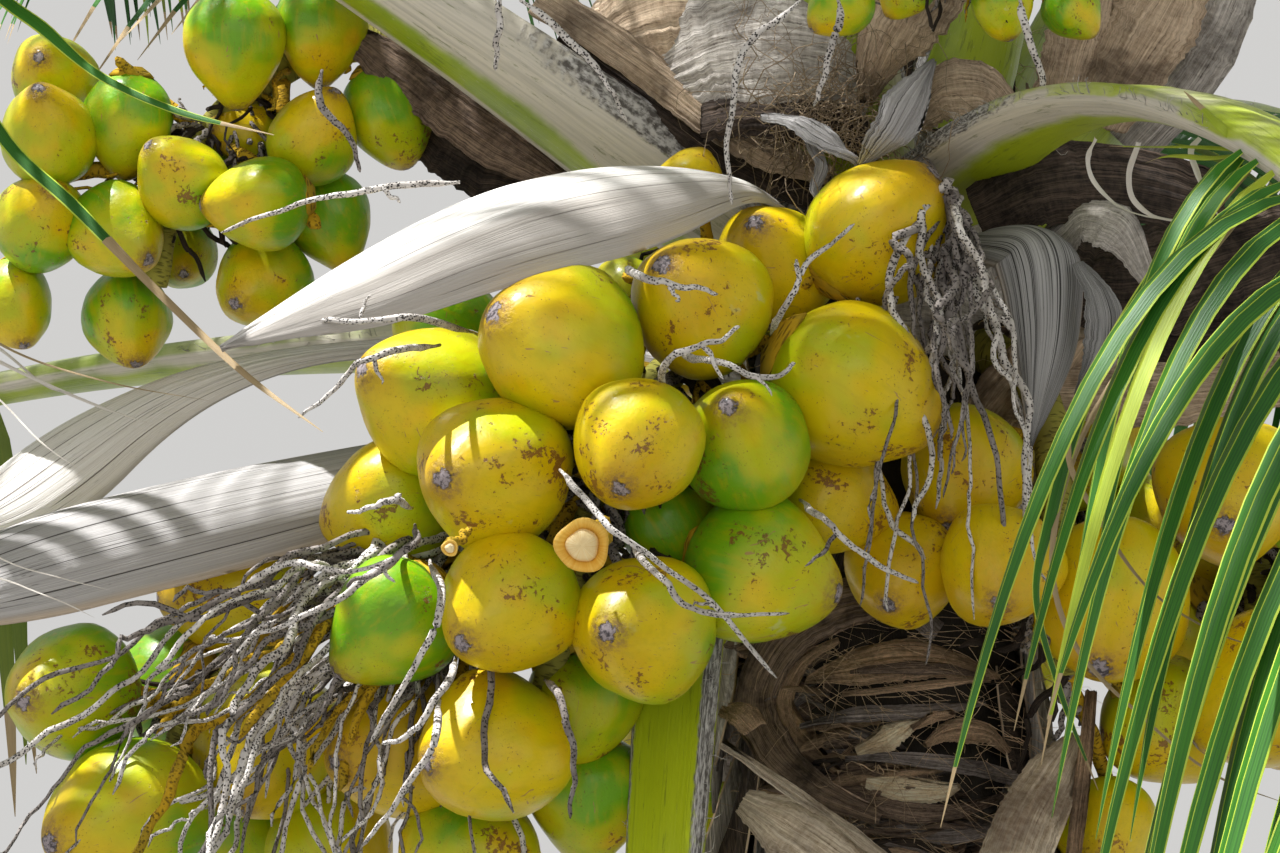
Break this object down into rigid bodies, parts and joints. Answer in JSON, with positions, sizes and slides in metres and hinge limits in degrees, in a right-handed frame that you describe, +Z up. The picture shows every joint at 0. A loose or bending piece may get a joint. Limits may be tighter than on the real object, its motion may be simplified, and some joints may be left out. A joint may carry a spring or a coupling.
{
  "type": "coconut palm tree",
  "caption": "Coconut palm rooted in the ground, with a leaning trunk, arching fronds, bunches of yellow-green nuts and dry bracts",
  "frame": {"origin": "centre of the flat cut under the trunk, at ground level", "axes": "+Z up out of the ground, -Y towards the side that the picture shows"},
  "size_m": [6.9538, 6.6692, 6.71],
  "materials": {
    "bark": "matt, ringed and fibrous",
    "frond_leaf": "satin leaf",
    "young_leaf": "satin leaf",
    "old_leaf_base": "matt, torn",
    "nut_skin": "waxy, satin",
    "dry_bract": "matt, grooved",
    "dry_stalk": "matt, spotted"
  },
  "bodies": {
    "root": {"broken_bract_right": "dry_bract", "cut_leaf_base_1": "old_leaf_base", "cut_leaf_base_2": "old_leaf_base", "cut_leaf_base_3": "old_leaf_base", "cut_leaf_base_4": "old_leaf_base", "cut_leaf_base_5": "old_leaf_base", "cut_leaf_base_6": "old_leaf_base", "dry_bract_back": "dry_bract", "dry_bract_back_right": "dry_bract", "dry_bract_front": "dry_bract", "dry_bract_left": "dry_bract", "dry_bract_left_high": "dry_bract", "frond_01": "frond_leaf", "frond_02": "frond_leaf", "frond_03_inner": "frond_leaf", "frond_03_outer": "frond_leaf", "frond_04_inner": "frond_leaf", "frond_04_outer": "frond_leaf", "frond_05_inner": "frond_leaf", "frond_05_outer": "frond_leaf", "frond_06_inner": "frond_leaf", "frond_06_outer": "frond_leaf", "frond_07_inner": "frond_leaf", "frond_07_outer": "frond_leaf", "frond_08_inner": "frond_leaf", "frond_08_outer": "frond_leaf", "frond_09_inner": "frond_leaf", "frond_09_outer": "frond_leaf", "frond_10_inner": "frond_leaf", "frond_10_outer": "frond_leaf", "frond_11": "frond_leaf", "frond_12": "frond_leaf", "frond_13": "frond_leaf", "frond_14": "frond_leaf", "frond_15": "frond_leaf", "frond_16": "frond_leaf", "frond_17": "frond_leaf", "frond_18": "frond_leaf", "frond_19": "frond_leaf", "frond_20": "frond_leaf", "frond_21": "frond_leaf", "frond_22": "frond_leaf", "nut_bunch_back": "nut_skin", "nut_bunch_back_left": "nut_skin", "nut_bunch_back_right": "nut_skin", "nut_bunch_front": "nut_skin", "nut_bunch_left_high": "nut_skin", "nut_bunch_left_low": "nut_skin", "nut_bunch_right": "nut_skin", "nut_bunch_right_low": "nut_skin", "old_flower_stalk_left": "dry_stalk", "old_flower_stalk_right": "dry_stalk", "spear_leaf": "young_leaf", "trunk": "bark", "young_nut_bunch_front": "nut_skin"}
  },
  "joints": []
}
